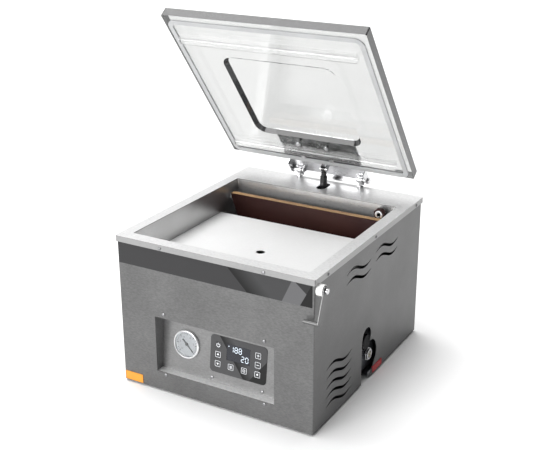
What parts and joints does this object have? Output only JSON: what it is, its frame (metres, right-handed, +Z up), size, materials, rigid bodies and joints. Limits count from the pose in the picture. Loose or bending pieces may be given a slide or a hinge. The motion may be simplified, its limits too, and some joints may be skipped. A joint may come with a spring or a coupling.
{
  "type": "vacuum packing machine",
  "caption": "Tabletop chamber vacuum packing machine with a stainless casing, a hinged clear lid, a rear seal bar and a tilted control panel in a front recess.",
  "frame": {"origin": "centre of the base plate's flat underside, on the machine's midplane", "axes": "+Z up, -Y out of the control front, +X towards the side with the latch and the oil sight glass"},
  "size_m": [0.522, 0.5922, 0.8321],
  "materials": {
    "casing_steel": "satin brushed stainless sheet",
    "rim_steel": "satin brushed stainless sheet",
    "bright_steel": "polished stainless",
    "zinc_steel": "grey",
    "cast_metal": "grey painted casting",
    "clear_acrylic": "clear polished acrylic",
    "clear_glass": "clear",
    "white_silicone": "matte white silicone",
    "black_rubber": "matte",
    "black_plastic": "matte",
    "white_plastic": "gloss",
    "laminate": "paper laminate board",
    "tape": "coated glass cloth",
    "overlay_film": "satin printed film",
    "display_film": "gloss",
    "circuit_board": "solder mask",
    "dial_face": "printed",
    "black_paint": "gloss black"
  },
  "bodies": {
    "root": {"body_shell": "casing_steel", "back_panel": "casing_steel", "base_plate": "zinc_steel", "feet": "black_rubber", "rim_plate": "rim_steel", "casing_screws": "bright_steel", "front_band": "overlay_film", "chamber_tub": "rim_steel", "filler_plate": "rim_steel", "suction_fitting": "bright_steel", "lift_cylinders": "zinc_steel", "gas_nozzle": "bright_steel", "nozzle_block": "laminate", "hinge_posts": "bright_steel", "strut_lower_stud": "zinc_steel", "lid_sensor": "black_plastic", "latch_spacer": "white_plastic", "latch_screw": "bright_steel", "control_pan": "casing_steel", "gauge_case": "bright_steel", "gauge_dial": "dial_face", "gauge_glass": "clear_glass", "control_overlay": "overlay_film", "display_window": "display_film", "control_board": "circuit_board", "pump_housing": "cast_metal", "pump_motor": "cast_metal", "fan_cowl": "black_paint", "oil_filler_cap": "black_plastic", "oil_sight_glass": "bright_steel", "vacuum_hose": "black_rubber", "valve_block": "cast_metal", "transformer": "zinc_steel", "power_inlet": "black_plastic"},
    "lid": {"lid_slab": "clear_acrylic", "lid_gasket": "white_silicone", "counter_bars": "white_silicone", "counter_bar_holders": "white_plastic", "lid_bracket": "bright_steel", "bracket_bolts": "bright_steel", "hinge_bolts": "bright_steel"},
    "strut_tube": {"strut_tube": "black_paint"},
    "strut_rod": {"strut_rod": "bright_steel"},
    "seal_lift": {"seal_bar": "laminate", "sealing_tape": "tape", "heating_wires": "bright_steel", "wire_clamps": "bright_steel", "lift_pistons": "bright_steel"},
    "latch": {"latch_arm": "bright_steel"},
    "gauge_needle": {"gauge_needle": "black_paint"},
    "pump_rotor": {"drive_shaft": "bright_steel", "motor_fan": "black_plastic"},
    "key_power": {"key_power": "overlay_film"},
    "key_left_middle": {"key_left_middle": "overlay_film"},
    "key_left_low": {"key_left_low": "overlay_film"},
    "key_low_second": {"key_low_second": "overlay_film"},
    "key_low_third": {"key_low_third": "overlay_film"},
    "key_right_low": {"key_right_low": "overlay_film"},
    "key_right_middle": {"key_right_middle": "overlay_film"},
    "key_right_top": {"key_right_top": "overlay_film"}
  },
  "joints": [
    {"name": "lid_hinge", "type": "hinge", "parent": "root", "child": "lid", "pos_m": [0, 0.274, 0.382], "axis": [1, 0, 0], "range_deg": [0, 52.3]},
    {"name": "strut_swing", "type": "hinge", "parent": "lid", "child": "strut_tube", "pos_m": [0, 0.23999, 0.40603], "axis": [1, 0, 0], "range_deg": [-49.6, 0]},
    {"name": "strut_stroke", "type": "slide", "parent": "strut_tube", "child": "strut_rod", "axis": [0, -0.0331, -0.9995], "range_m": [-0.0359, 0]},
    {"name": "seal_lift", "type": "slide", "parent": "root", "child": "seal_lift", "axis": [0, 0, 1], "range_m": [0, 0.009]},
    {"name": "latch_swing", "type": "hinge", "parent": "root", "child": "latch", "pos_m": [0.2638, -0.269, 0.334], "axis": [-1, 0, 0], "range_deg": [0, 191.5]},
    {"name": "gauge_sweep", "type": "hinge", "parent": "root", "child": "gauge_needle", "pos_m": [-0.088, -0.25448, 0.11767], "axis": [0, -0.994, 0.1092], "range_deg": [0, 266], "stiffness_Nm_per_rad": 0.002, "springref_deg": -28.65},
    {"name": "motor_spin", "type": "hinge", "parent": "root", "child": "pump_rotor", "pos_m": [0, 0.005, 0.088], "axis": [1, 0, 0], "continuous": true},
    {"name": "key_power_press", "type": "slide", "parent": "root", "child": "key_power", "axis": [0, 0.994, -0.1092], "range_m": [0, 0.0004], "stiffness_N_per_m": 400, "springref_m": -0.0005},
    {"name": "key_left_middle_press", "type": "slide", "parent": "root", "child": "key_left_middle", "axis": [0, 0.994, -0.1092], "range_m": [0, 0.0004], "stiffness_N_per_m": 400, "springref_m": -0.0005},
    {"name": "key_left_low_press", "type": "slide", "parent": "root", "child": "key_left_low", "axis": [0, 0.994, -0.1092], "range_m": [0, 0.0004], "stiffness_N_per_m": 400, "springref_m": -0.0005},
    {"name": "key_low_second_press", "type": "slide", "parent": "root", "child": "key_low_second", "axis": [0, 0.994, -0.1092], "range_m": [0, 0.0004], "stiffness_N_per_m": 400, "springref_m": -0.0005},
    {"name": "key_low_third_press", "type": "slide", "parent": "root", "child": "key_low_third", "axis": [0, 0.994, -0.1092], "range_m": [0, 0.0004], "stiffness_N_per_m": 400, "springref_m": -0.0005},
    {"name": "key_right_low_press", "type": "slide", "parent": "root", "child": "key_right_low", "axis": [0, 0.994, -0.1092], "range_m": [0, 0.0004], "stiffness_N_per_m": 400, "springref_m": -0.0005},
    {"name": "key_right_middle_press", "type": "slide", "parent": "root", "child": "key_right_middle", "axis": [0, 0.994, -0.1092], "range_m": [0, 0.0004], "stiffness_N_per_m": 400, "springref_m": -0.0005},
    {"name": "key_right_top_press", "type": "slide", "parent": "root", "child": "key_right_top", "axis": [0, 0.994, -0.1092], "range_m": [0, 0.0004], "stiffness_N_per_m": 400, "springref_m": -0.0005}
  ],
  "couplings": [
    {"joint": "strut_swing", "follows": "lid_hinge", "ratio": -0.94596},
    {"joint": "strut_stroke", "follows": "lid_hinge", "m_per_rad": -0.039155}
  ]
}
